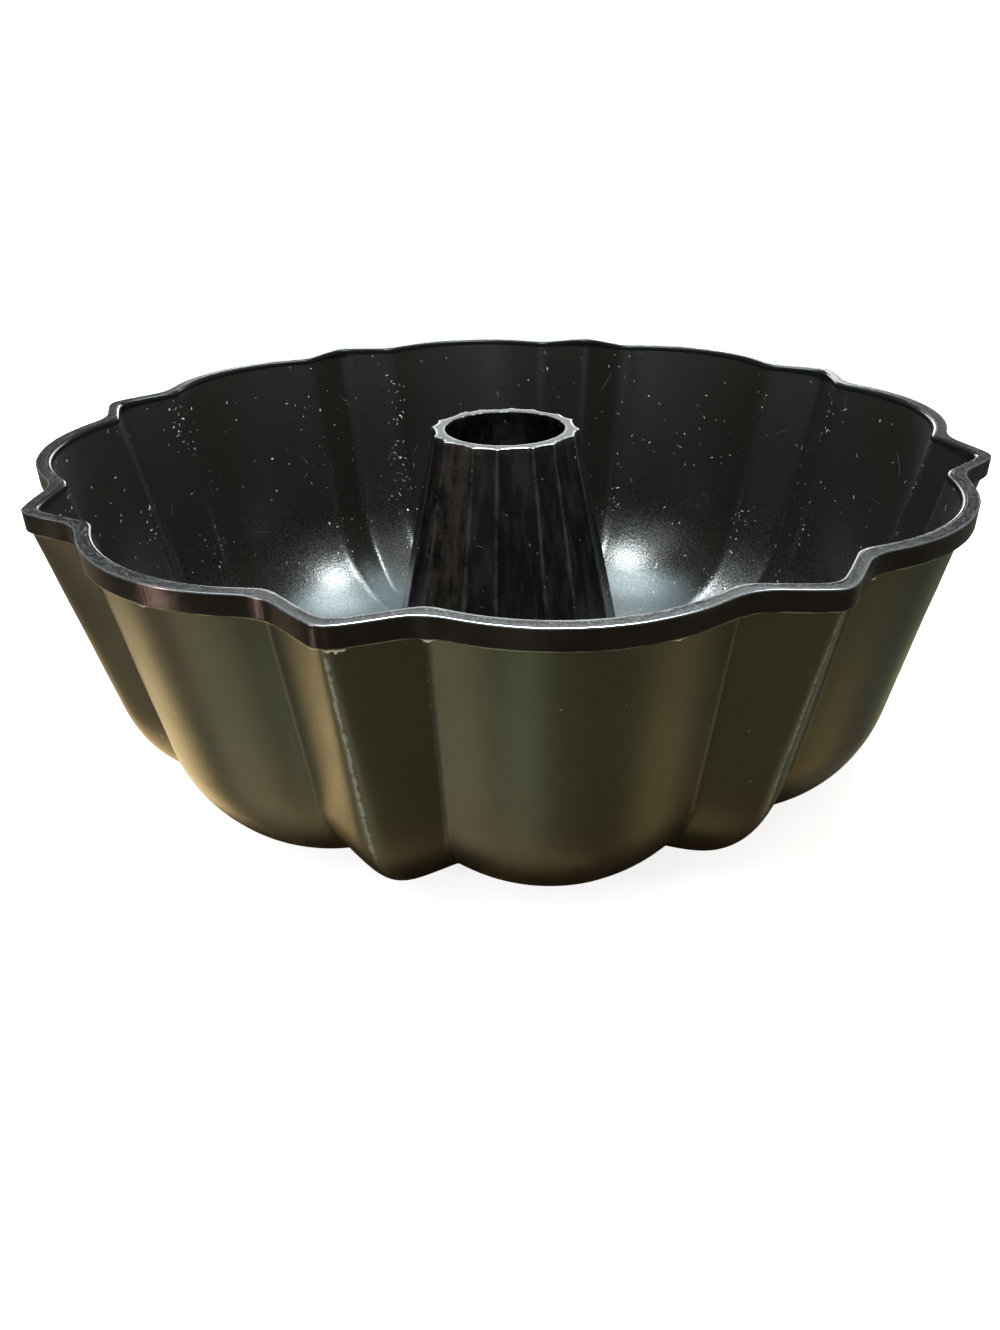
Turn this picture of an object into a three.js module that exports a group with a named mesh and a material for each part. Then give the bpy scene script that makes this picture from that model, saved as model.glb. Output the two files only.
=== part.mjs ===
// A fluted tube pan: a deep round cake mould with blunt ribs, round lobes and a hollow centre tube.
// Millimetres, +Z up. The pan stands on z = 0 and its axis is the Z axis.
import * as THREE from "three";

// Driving dimensions of the fluted outline, measured on the outside of the rim
const RIB_COUNT = 8;
const RIB_TIP_RADIUS = 132;
const RIB_TIP_ROUND = 4.6; // how blunt a rib is, as the radius of its tip
const RIB_FLANK = THREE.MathUtils.degToRad(34.4); // from square across the rib
const LOBE_DEPTH = 1.4; // from the circle through the rib tips in to the crests of the lobes
const LOBE_RADIUS = 50;
const VALLEY_BLEND = 5.3; // how wide the flank of a rib runs into the lobe beside it

// Driving dimensions of the shell
const PAN_HEIGHT = 92;
const WALL = 2.2;
const WALL_DRAFT = THREE.MathUtils.degToRad(10);
const CORNER_RADIUS = 43;
const FOOT_CUT = 2.6; // how deep the underside is ground flat where the pan stands

// Driving dimensions of the rim band, which caps the shell's edge and turns down outside it
const RIM_OVERHANG = 1.6;
const RIM_SKIRT = 5.1;
const RIM_CAP = 1.2;

// Driving dimensions of the centre tube
const TUBE_RIM_DROP = 0.5; // from the rim's top down to the tube's top
const TUBE_TOP_RADIUS = 21.6;
const TUBE_WALL = 4;
const TUBE_DRAFT = THREE.MathUtils.degToRad(12.5);
const TUBE_NARROW_FLUTE = THREE.MathUtils.degToRad(18);
const TUBE_NARROW_DEPTH = 0.6;
const TUBE_WIDE_DEPTH = 1.1;

// Driving dimensions of the joint between the tube and the floor
const SPIGOT_WALL = 2.2;
const SPIGOT_REACH = 0.6; // how far the spigot shows below the lock ring
const SPIGOT_CLEARANCE = 1.2; // from the spigot up from the table
const LOCK_RING_WIDTH = 5;
const LOCK_RING_HEIGHT = 2;
const SEAT_MARGIN = 2; // flat floor left outside the lock ring
const SEAT_RAMP = 7; // width of the slope from the floor up to the raised seat
const FIT_GAP = 0.3; // clearance between pieces that seat on each other

// Fineness of the solids: shares of a rib's pitch where its columns change spacing, and steps between
const FLANK_SHARE = 0.125;
const VALLEY_SHARE = 0.25;
const CORNER_STEPS = 6;
const TIP_STEPS = 3;
const FLANK_STEPS = 2;
const VALLEY_STEPS = 4;
const LOBE_STEPS = 4;
const NARROW_FLUTE_STEPS = 4;
const WIDE_FLUTE_STEPS = 6;

const HALF_TURN = Math.PI;
const QUARTER_TURN = HALF_TURN / 2;
const RIB_PITCH = (2 * HALF_TURN) / RIB_COUNT;

// The fluted outline: flat flanks meet in the blunt tip of each rib, and run into the arcs of the lobes
const flankSlope = Math.tan(RIB_FLANK);
const tipHalfWidth = RIB_TIP_ROUND * flankSlope;
const pointRadius = RIB_TIP_RADIUS + flankSlope * tipHalfWidth; // where the flanks would meet in a point
const lobeCentre = RIB_TIP_RADIUS - LOBE_DEPTH - LOBE_RADIUS;

// Angle from the middle of the nearest rib, never negative
function angleFromRib(angle) {
  return Math.abs(angle - RIB_PITCH * Math.round(angle / RIB_PITCH));
}

function ribRadius(fromRib) {
  const across = Math.hypot(Math.sin(fromRib), tipHalfWidth / RIB_TIP_RADIUS);
  return pointRadius / (Math.cos(fromRib) + flankSlope * across);
}

function lobeRadius(fromRib) {
  const fromCrest = RIB_PITCH / 2 - fromRib;
  const chord = LOBE_RADIUS ** 2 - (lobeCentre * Math.sin(fromCrest)) ** 2;
  return lobeCentre * Math.cos(fromCrest) + Math.sqrt(Math.max(chord, 0));
}

function outlineRadius(angle) {
  const fromRib = angleFromRib(angle);
  const rib = ribRadius(fromRib);
  const lobe = lobeRadius(fromRib);
  const share = THREE.MathUtils.clamp(0.5 + (rib - lobe) / (2 * VALLEY_BLEND), 0, 1);
  return lobe + (rib - lobe) * share + VALLEY_BLEND * share * (1 - share);
}

// Depth of the flutes at an angle, as a share of the radius of the circle through the rib tips
function fluteShare(angle) {
  return 1 - outlineRadius(angle) / RIB_TIP_RADIUS;
}

// Angles spread evenly from one angle up to another, without the last
function spread(from, to, steps) {
  return Array.from({ length: steps }, (_, i) => from + ((to - from) * i) / steps);
}

// The same angles repeated in each rib's share of the turn
function aroundThePan(anglesOfOneRib) {
  return spread(0, 2 * HALF_TURN, RIB_COUNT).flatMap((rib) => anglesOfOneRib.map((angle) => rib + angle));
}

// Angles from a rib's middle where its tip, its flank and the valley beside it end
const tipEnd = (2 * tipHalfWidth) / RIB_TIP_RADIUS;
const flankEnd = RIB_PITCH * FLANK_SHARE;
const valleyEnd = RIB_PITCH * VALLEY_SHARE;
const panColumns = aroundThePan([
  ...spread(0, tipEnd, TIP_STEPS),
  ...spread(tipEnd, flankEnd, FLANK_STEPS),
  ...spread(flankEnd, valleyEnd, VALLEY_STEPS),
  ...spread(valleyEnd, RIB_PITCH - valleyEnd, 2 * LOBE_STEPS),
  ...spread(RIB_PITCH - valleyEnd, RIB_PITCH - flankEnd, VALLEY_STEPS),
  ...spread(RIB_PITCH - flankEnd, RIB_PITCH - tipEnd, FLANK_STEPS),
  ...spread(RIB_PITCH - tipEnd, RIB_PITCH, TIP_STEPS),
]);

// Turns a closed section about the axis, with its columns at the given angles.
// Each section point is a function that gives its radius and height at an angle.
function turned(section, columns) {
  const closed = [...section, section[0]];
  const bare = closed.map((place) => new THREE.Vector2(...place(0)));
  const geometry = new THREE.LatheGeometry(bare, columns.length);
  const position = geometry.getAttribute("position");
  for (let i = 0; i < position.count; i += 1) {
    const angle = columns[Math.floor(i / closed.length) % columns.length];
    const [radius, height] = closed[i % closed.length](angle);
    position.setXYZ(i, radius * Math.cos(angle), radius * Math.sin(angle), height);
  }
  return geometry;
}

function piece(name, geometry, color, roughness, metalness) {
  const mesh = new THREE.Mesh(geometry, new THREE.MeshStandardMaterial({ color, roughness, metalness }));
  mesh.name = name;
  return mesh;
}

// Places that follow from the driving dimensions
const wallTop = PAN_HEIGHT - RIM_CAP - FIT_GAP;
const wallTopRadius = RIB_TIP_RADIUS - RIM_OVERHANG;
const wallAcross = WALL / Math.cos(WALL_DRAFT);
const cornerHeight = CORNER_RADIUS - FOOT_CUT;
const cornerCentre =
  wallTopRadius - Math.tan(WALL_DRAFT) * (wallTop - cornerHeight) - CORNER_RADIUS / Math.cos(WALL_DRAFT);
const seatHeight = SPIGOT_CLEARANCE + SPIGOT_REACH + LOCK_RING_HEIGHT + FIT_GAP;
const tubeTop = PAN_HEIGHT - TUBE_RIM_DROP;
const tubeFoot = seatHeight + WALL + FIT_GAP;
const tubeFootRadius = TUBE_TOP_RADIUS + Math.tan(TUBE_DRAFT) * (tubeTop - tubeFoot);
const spigotBoreRadius = tubeFootRadius - TUBE_WALL;
const spigotRadius = spigotBoreRadius + SPIGOT_WALL;
const floorHoleRadius = spigotRadius + FIT_GAP;
const seatRadius = floorHoleRadius + LOCK_RING_WIDTH + SEAT_MARGIN;

// The shell: a drafted fluted wall that rounds into the floor, with a raised seat round the tube's hole.
// A station is a place on the outside of the pan's section. Its lean is how far the wall has turned from
// upright to flat, its push how far the flutes' depth has, and its flutes how much of that depth it has.
function cornerStation(step) {
  const push = (QUARTER_TURN * step) / CORNER_STEPS;
  const lean = WALL_DRAFT + (1 - WALL_DRAFT / QUARTER_TURN) * push;
  const radius = cornerCentre + CORNER_RADIUS * Math.cos(lean);
  const height = cornerHeight - CORNER_RADIUS * Math.sin(lean);
  return { radius, height, lean, push, flutes: 1, wall: WALL };
}

function floorStation(radius, height, flutes) {
  return { radius, height, lean: QUARTER_TURN, push: QUARTER_TURN, flutes, wall: WALL };
}

const stations = [
  floorStation(floorHoleRadius, seatHeight, 0),
  floorStation(seatRadius, seatHeight, 0),
  floorStation(seatRadius + SEAT_RAMP, -FOOT_CUT, 1),
  ...Array.from({ length: CORNER_STEPS + 1 }, (_, i) => cornerStation(CORNER_STEPS - i)),
  { radius: wallTopRadius, height: wallTop, lean: 0, push: 0, flutes: 1, wall: wallAcross },
];

// A section point at a station, set in by a share of the wall, and never below its lowest level:
// the ground underside outside, or the floor over it inside
function shellPoint(station, share, lowest) {
  return (angle) => {
    const depth = share * station.wall;
    const flute = station.flutes * fluteShare(angle) * station.radius;
    const radius = station.radius - depth * Math.cos(station.lean) - flute * Math.cos(station.push);
    const height = station.height + depth * Math.sin(station.lean) + flute * Math.sin(station.push);
    return [radius, Math.max(height, lowest)];
  };
}

function flutedShell() {
  const outside = stations.map((station) => shellPoint(station, 0, 0));
  const inside = stations.map((station) => shellPoint(station, 1, WALL)).reverse();
  return piece("fluted_shell", turned([...outside, ...inside], panColumns), 0x2c2a22, 0.38, 0.55);
}

// The rim band: a flat cap over the shell's edge with a skirt turned down outside it
function rimPoint(inset, height) {
  const radius = RIB_TIP_RADIUS - inset;
  return (angle) => [radius * (1 - fluteShare(angle)), height];
}

function rimBand() {
  const capInset = RIM_OVERHANG + wallAcross;
  const skirtInset = RIM_OVERHANG - FIT_GAP;
  const section = [
    rimPoint(0, PAN_HEIGHT - RIM_SKIRT),
    rimPoint(0, PAN_HEIGHT),
    rimPoint(capInset, PAN_HEIGHT),
    rimPoint(capInset, PAN_HEIGHT - RIM_CAP),
    rimPoint(skirtInset, PAN_HEIGHT - RIM_CAP),
    rimPoint(skirtInset, PAN_HEIGHT - RIM_SKIRT),
  ];
  return piece("rim_band", turned(section, panColumns), 0x2a2422, 0.42, 0.6);
}

// The tube's flutes: a narrow one facing each rib and a wide one facing each lobe, with a ridge between
const tubeColumns = aroundThePan([
  ...spread(-TUBE_NARROW_FLUTE / 2, TUBE_NARROW_FLUTE / 2, NARROW_FLUTE_STEPS),
  ...spread(TUBE_NARROW_FLUTE / 2, RIB_PITCH - TUBE_NARROW_FLUTE / 2, WIDE_FLUTE_STEPS),
]);

function tubeFlute(angle) {
  const fromRib = angleFromRib(angle);
  const narrow = fromRib < TUBE_NARROW_FLUTE / 2;
  const fromMiddle = narrow ? fromRib : RIB_PITCH / 2 - fromRib;
  const width = narrow ? TUBE_NARROW_FLUTE : RIB_PITCH - TUBE_NARROW_FLUTE;
  const depth = narrow ? TUBE_NARROW_DEPTH : TUBE_WIDE_DEPTH;
  return depth * (1 - (2 * fromMiddle / width) ** 2);
}

function round(radius, height) {
  return () => [radius, height];
}

function fluted(radius, height) {
  return (angle) => [radius - tubeFlute(angle), height];
}

// The centre tube: a fluted hollow cone on the raised seat, with a spigot down through the floor
function centreTube() {
  const spigotEnd = SPIGOT_CLEARANCE;
  const section = [
    round(spigotRadius, spigotEnd),
    round(spigotRadius, tubeFoot),
    fluted(tubeFootRadius, tubeFoot),
    fluted(TUBE_TOP_RADIUS, tubeTop),
    round(TUBE_TOP_RADIUS - TUBE_WALL, tubeTop),
    round(spigotBoreRadius, tubeFoot),
    round(spigotBoreRadius, spigotEnd),
  ];
  return piece("centre_tube", turned(section, tubeColumns), 0x19191a, 0.3, 0.4);
}

// The lock ring: pressed on the spigot under the floor, it holds the tube down on its seat
function tubeLockRing() {
  const inner = spigotRadius + FIT_GAP;
  const outer = inner + LOCK_RING_WIDTH;
  const top = seatHeight - FIT_GAP;
  const bottom = top - LOCK_RING_HEIGHT;
  const section = [round(outer, bottom), round(outer, top), round(inner, top), round(inner, bottom)];
  return piece("tube_lock_ring", turned(section, tubeColumns), 0x35332e, 0.45, 0.7);
}

const pan = new THREE.Group();
pan.add(flutedShell(), rimBand(), centreTube(), tubeLockRing());

export default pan;
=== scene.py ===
"""The looks of a fluted tube pan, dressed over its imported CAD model.

Shapes are worked out in millimetres from the pan's own dimensions and laid down in metres, +Z up.
"""

import math

import bpy
import numpy as np
from mathutils import Matrix, Vector


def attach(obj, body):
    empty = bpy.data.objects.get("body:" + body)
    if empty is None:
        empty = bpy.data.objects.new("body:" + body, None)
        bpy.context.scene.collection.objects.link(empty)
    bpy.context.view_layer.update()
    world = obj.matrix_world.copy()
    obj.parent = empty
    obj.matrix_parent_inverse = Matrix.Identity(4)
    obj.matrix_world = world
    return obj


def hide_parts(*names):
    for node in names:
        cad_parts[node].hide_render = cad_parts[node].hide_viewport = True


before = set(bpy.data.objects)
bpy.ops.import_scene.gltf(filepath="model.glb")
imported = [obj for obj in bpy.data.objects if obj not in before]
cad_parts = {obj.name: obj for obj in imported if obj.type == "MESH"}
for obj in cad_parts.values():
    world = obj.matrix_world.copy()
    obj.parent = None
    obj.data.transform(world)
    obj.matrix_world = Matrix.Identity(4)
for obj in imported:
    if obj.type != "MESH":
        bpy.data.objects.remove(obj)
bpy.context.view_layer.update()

MM = 0.001

# The fluted outline, measured on the outside of the rim
RIB_COUNT = 8
RIB_PITCH = 2 * math.pi / RIB_COUNT
RIB_TIP_RADIUS = 132.0
RIB_TIP_ROUND = 4.6
FLANK_SLOPE = math.tan(math.radians(34.4))
LOBE_RADIUS = 50.0
LOBE_CENTRE = RIB_TIP_RADIUS - 1.4 - LOBE_RADIUS
POINT_RADIUS = RIB_TIP_RADIUS + RIB_TIP_ROUND * FLANK_SLOPE**2
VALLEY_BLEND = 5.3

# The shell: its ribs are crisp under the rim and blunt at the foot, its valleys crisper than the rim's
PAN_HEIGHT = 92.0
WALL = 2.2
WALL_DRAFT = math.radians(10)
CORNER_RADIUS = 43.0
FOOT_CUT = 2.6
RIB_ROUND_AT_RIM, RIB_ROUND_AT_FOOT = 1.6, 7.5
WALL_VALLEY_BLEND = 1.0
GROOVE_ROUND, INSIDE_VALLEY_BLEND = 2.6, 2.8
FLOOR_LEFT = 1.0  # metal left over the ground underside
FLOOR_BLEND = 1.2
WALL_WAVINESS, INSIDE_WAVINESS = 0.07, 0.05

# The rim band
RIM_OVERHANG = 1.6
RIM_SKIRT = 5.1
RIM_CAP = 1.2
RIM_LIP = 0.2  # how far the cap reaches in past the shell's inside
RIM_LIP_ROUND = 1.1
CAP_HOLLOW = 0.03  # how far the worn top lies below its edges
CAP_WAVINESS = 0.05
CAP_SINK = 0.6  # how much lower the cap's underside lies than in the CAD, to close over the wall
RIM_NIBBLES, FLASH_RAGGEDNESS = 0.09, 0.07

# The centre tube and what holds it
TUBE_TOP = PAN_HEIGHT - 0.5
TUBE_TOP_RADIUS = 21.6
TUBE_WALL = 4.0
TUBE_DRAFT = math.radians(12.5)
TUBE_NARROW_FLUTE = math.radians(18)
TUBE_NARROW_DEPTH = 0.6
TUBE_WIDE_DEPTH = 1.1
TUBE_FLARE = 1.6  # how far the foot flares out on the seat
TUBE_FLARE_START, TUBE_FLARE_HEIGHT = 0.3, 3.2
TUBE_FLARE_SINK = 0.55
TUBE_EDGE = 0.45  # the rounding of the top: its height, and its width at the bore
TUBE_EDGE_WIDTH = 0.42  # its width outside
TUBE_NIBBLES = 0.07
SPIGOT_WALL = 2.2
SPIGOT_END = 1.2
SPIGOT_BEVEL = 0.4
LOCK_RING_WIDTH = 5.0
LOCK_RING_HEIGHT = 2.0
LOCK_RING_EDGE = 1.6  # how far in from its edges it is worn
SEAT_HEIGHT = 4.1
SEAT_MARGIN = 2.0
SEAT_RAMP = 7.0
FIT_GAP = 0.3

# Places that follow from those dimensions
WALL_TOP = PAN_HEIGHT - RIM_CAP - FIT_GAP
WALL_TOP_RADIUS = RIB_TIP_RADIUS - RIM_OVERHANG
WALL_ACROSS = WALL / math.cos(WALL_DRAFT)
CORNER_HEIGHT = CORNER_RADIUS - FOOT_CUT
WALL_RUN = WALL_TOP - CORNER_HEIGHT
CORNER_CENTRE = WALL_TOP_RADIUS - math.tan(WALL_DRAFT) * WALL_RUN - CORNER_RADIUS / math.cos(WALL_DRAFT)
TUBE_FOOT = SEAT_HEIGHT + WALL + FIT_GAP
TUBE_FOOT_RADIUS = TUBE_TOP_RADIUS + math.tan(TUBE_DRAFT) * (TUBE_TOP - TUBE_FOOT)
SPIGOT_BORE = TUBE_FOOT_RADIUS - TUBE_WALL
SPIGOT_RADIUS = SPIGOT_BORE + SPIGOT_WALL
FLOOR_HOLE = SPIGOT_RADIUS + FIT_GAP
SEAT_RADIUS = FLOOR_HOLE + LOCK_RING_WIDTH + SEAT_MARGIN


def from_rib(angle):
    """Angle from the middle of the nearest rib, never negative."""
    return np.abs(angle - RIB_PITCH * np.round(angle / RIB_PITCH))


def filled_corner(a, b, blend):
    """The greater of two curves, with the corner where they cross filled in over a blend width."""
    share = np.clip(0.5 + 0.5 * (a - b) / blend, 0, 1)
    return b + (a - b) * share + blend * share * (1 - share)


def outline(angle, tip_round, valley_blend):
    """Radius of the fluted outline: flat flanks meet in a blunt rib and run into the arcs of the lobes."""
    away = from_rib(angle)
    blunt = tip_round * FLANK_SLOPE / RIB_TIP_RADIUS
    rib = POINT_RADIUS / (np.cos(away) + FLANK_SLOPE * np.hypot(np.sin(away), blunt))
    from_crest = RIB_PITCH / 2 - away
    chord = LOBE_RADIUS**2 - (LOBE_CENTRE * np.sin(from_crest)) ** 2
    lobe = LOBE_CENTRE * np.cos(from_crest) + np.sqrt(np.maximum(chord, 0))
    return filled_corner(rib, lobe, valley_blend)


# Where flank and lobe meet, as an angle from the middle of the rib
HALF_SHARE = np.linspace(0, RIB_PITCH / 2, 2251)
VALLEY = HALF_SHARE[np.argmin(outline(HALF_SHARE, RIB_TIP_ROUND, WALL_VALLEY_BLEND))]


def bell(x, width):
    """A smooth bump of height one."""
    return np.exp(-((x / width) ** 2))


def ease(x):
    """From 0 to 1, slow at both ends."""
    x = np.clip(x, 0, 1)
    return x * x * (3 - 2 * x)


def columns_round(*stretches):
    """Angles of the columns for the whole turn.

    The stretches lead from the middle of a rib to the crest of a lobe, each as (end in degrees, steps),
    and are mirrored into the rest of a rib's share of the turn.
    """
    marks, start = [0.0], 0.0
    for end, steps in stretches:
        marks += [start + (end - start) * (i + 1) / steps for i in range(steps)]
        start = end
    half = np.radians(marks)
    share = np.concatenate([half, RIB_PITCH - half[1:-1][::-1]])
    return np.concatenate([share + RIB_PITCH * rib for rib in range(RIB_COUNT)])


PAN_COLUMNS = columns_round((2.0, 10), (5.6, 5), (10.0, 14), (22.5, 15))
TUBE_COLUMNS = columns_round((7.8, 7), (10.2, 10), (22.5, 11))
FROM_RIB = from_rib(PAN_COLUMNS)


def unevenness(angle, height, seed):
    """The slow waviness of cast and polished metal, about one either way."""
    waves = ((5, 0.021), (9, -0.034), (14, 0.047), (23, -0.06), (37, 0.083))
    total = 0.0
    for i, (turns, rise) in enumerate(waves):
        phase = turns * angle + 2 * math.pi * rise * height + 1.7 * seed + 2.3 * i
        total = total + np.sin(phase) / (1 + 0.5 * i)
    return total / 2.2


def roughened(count, seed, reach):
    """Seeded random values round the turn, from -1 to 1, smoothed over a reach of columns."""
    draws = np.random.default_rng(seed).uniform(-1, 1, count)
    kernel = np.hanning(2 * reach + 3)[1:-1]
    kernel /= np.sqrt((kernel**2).sum())
    wrapped = np.concatenate([draws[-reach:], draws, draws[:reach]])
    return np.convolve(wrapped, kernel, mode="valid")


MARKS = ("worn_edge", "cap_face", "skirt_face", "foot_line", "crease", "flank")


def line(radius, height, finish=0, **marks):
    """One line round the axis in a turned piece, with the finish of the strip up to the next line."""
    return {"radius": radius, "height": height, "finish": finish, **marks}


def turned_piece(name, node, columns, lines, finishes):
    """A closed ring of quads round the pan's axis, which stands for a CAD node.

    The marks on its lines, such as how much of a worn edge each is, become attributes for the finishes.
    """
    turns, count = len(columns), len(lines)
    points = np.zeros((count, turns, 3))
    for i, one in enumerate(lines):
        points[i, :, 0] = one["radius"] * np.cos(columns) * MM
        points[i, :, 1] = one["radius"] * np.sin(columns) * MM
        points[i, :, 2] = one["height"] * MM
    here = np.arange(count * turns).reshape(count, turns)
    beside, above = np.roll(here, -1, axis=1), np.roll(here, -1, axis=0)
    quads = np.stack([here, beside, np.roll(above, -1, axis=1), above], axis=-1).reshape(-1, 4)
    mesh = bpy.data.meshes.new(name)
    mesh.from_pydata(points.reshape(-1, 3).tolist(), [], quads.tolist())
    strips = np.repeat([one["finish"] for one in lines], turns).astype(np.int32)
    mesh.polygons.foreach_set("material_index", strips)
    mesh.polygons.foreach_set("use_smooth", np.ones(len(quads), bool))
    for mark in MARKS:
        values = np.zeros((count, turns), np.float32)
        for i, one in enumerate(lines):
            values[i] = one.get(mark, 0.0)
        mesh.attributes.new(mark, "FLOAT", "POINT").data.foreach_set("value", values.ravel())
    for finish in finishes:
        mesh.materials.append(finish)
    mesh.update()
    piece = bpy.data.objects.new(name, mesh)
    bpy.context.scene.collection.objects.link(piece)
    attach(piece, "root")
    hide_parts(node)


def rounded_section(corners):
    """Points of a closed section from corners given as (across, height, rounding, steps, marks)."""
    points = []
    for i, (across, height, size, steps, marks) in enumerate(corners):
        corner = np.array((across, height))
        if not size:
            points.append((across, height, marks))
            continue
        before = np.array(corners[i - 1][:2]) - corner
        after = np.array(corners[(i + 1) % len(corners)][:2]) - corner
        start = corner + before / np.linalg.norm(before) * size
        end = corner + after / np.linalg.norm(after) * size
        for way in np.linspace(0, 1, steps + 1):
            place = (1 - way) ** 2 * start + 2 * way * (1 - way) * corner + way**2 * end
            points.append((place[0], place[1], marks))
    return points


# Finishes. A bench wires up the nodes of one material or of one effect that several materials share.


class Bench:
    def __init__(self, tree):
        self.tree = tree

    def add(self, kind, into=None, **settings):
        """A node with its settings, and with values or other nodes' outputs put into its inputs."""
        node = self.tree.nodes.new("ShaderNode" + kind)
        for name, value in settings.items():
            setattr(node, name, value)
        for socket, value in (into or {}).items():
            self.put(node.inputs[socket], value)
        return node

    def put(self, socket, value):
        if isinstance(value, bpy.types.NodeSocket):
            self.tree.links.new(value, socket)
        else:
            socket.default_value = value

    def sum(self, operation, *values):
        node = self.add("Math", operation=operation)
        for socket, value in zip(node.inputs, values):
            self.put(socket, value)
        return node.outputs[0]

    def aim(self, operation, *vectors):
        """Vector arithmetic: gives the vector, or the number for a dot product or a length."""
        node = self.add("VectorMath", operation=operation)
        for socket, value in zip([s for s in node.inputs if s.enabled], vectors):
            self.put(socket, value)
        return node.outputs["Value" if operation in ("DOT_PRODUCT", "LENGTH") else "Vector"]

    def scaled(self, vector, factor):
        node = self.add("VectorMath", operation="SCALE")
        self.put(node.inputs[0], vector)
        self.put(node.inputs["Scale"], factor)
        return node.outputs["Vector"]

    def step(self, value, low, high, to_low=0.0, to_high=1.0):
        """A soft step from one value to another as the input goes from low to high."""
        node = self.add("MapRange", interpolation_type="SMOOTHSTEP")
        names = ("Value", "From Min", "From Max", "To Min", "To Max")
        for name, given in zip(names, (value, low, high, to_low, to_high)):
            self.put(node.inputs[name], given)
        return node.outputs["Result"]

    def blend(self, share, first, second):
        node = self.add("Mix", data_type="RGBA")
        node.clamp_factor = True
        self.put(node.inputs[0], share)
        self.put(node.inputs[6], first)
        self.put(node.inputs[7], second)
        return node.outputs[2]

    def cloud(self, size, detail=3.0, roughness=0.55, place=None):
        """Noise with features of about that size in metres, from 0 to 1."""
        where = place or self.place()
        into = {"Vector": where, "Detail": detail, "Roughness": roughness}
        node = self.add("TexNoise", into)
        self.put(node.inputs["Scale"], size if isinstance(size, bpy.types.NodeSocket) else 1 / size)
        return node.outputs[0]

    def place(self):
        """Where a point lies on the pan, in metres."""
        return self.add("TexCoord").outputs["Object"]

    def height(self):
        return self.add("SeparateXYZ", {0: self.place()}).outputs[2]

    def mark(self, name):
        """One of the marks on a turned piece's lines."""
        return self.add("Attribute", attribute_name=name).outputs["Fac"]

    def use(self, group, **values):
        """A shared effect placed here with its own values."""
        node = self.tree.nodes.new("ShaderNodeGroup")
        node.node_tree = group
        for label, value in values.items():
            self.put(node.inputs[label.title()], value)
        return node.outputs


def effect(name, inputs, outputs):
    """A shared effect: a node group with named inputs and outputs. Gives its bench, its in and its out.

    Inputs come with a value each, a number or a colour, and outputs with whether they are colours.
    """
    tree = bpy.data.node_groups.new(name, "ShaderNodeTree")
    kinds = {True: "NodeSocketColor", False: "NodeSocketFloat"}
    for label, value in inputs.items():
        kind = kinds[isinstance(value, tuple)]
        tree.interface.new_socket(label, in_out="INPUT", socket_type=kind).default_value = value
    for label, coloured in outputs.items():
        tree.interface.new_socket(label, in_out="OUTPUT", socket_type=kinds[coloured])
    bench = Bench(tree)
    given = tree.nodes.new("NodeGroupInput").outputs
    made = tree.nodes.new("NodeGroupOutput").inputs
    return tree, bench, given, made


def coating_grain():
    """The fine orange peel of an oven-cured coat, the slow mottle under it, and the grit of a rubbed face."""
    outputs = {"Height": False, "Mottle": False, "Grit": False}
    tree, bench, given, made = effect("coating_grain", {"Size": 0.0006}, outputs)
    fine = bench.sum("DIVIDE", 1.0, given["Size"])
    coarse = bench.sum("DIVIDE", fine, 22.0)
    bench.put(made["Height"], bench.cloud(fine, 2.0, 0.5))
    bench.put(made["Mottle"], bench.cloud(coarse, 4.0, 0.6))
    bench.put(made["Grit"], bench.cloud(fine, 4.0, 0.75))
    return tree


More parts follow.
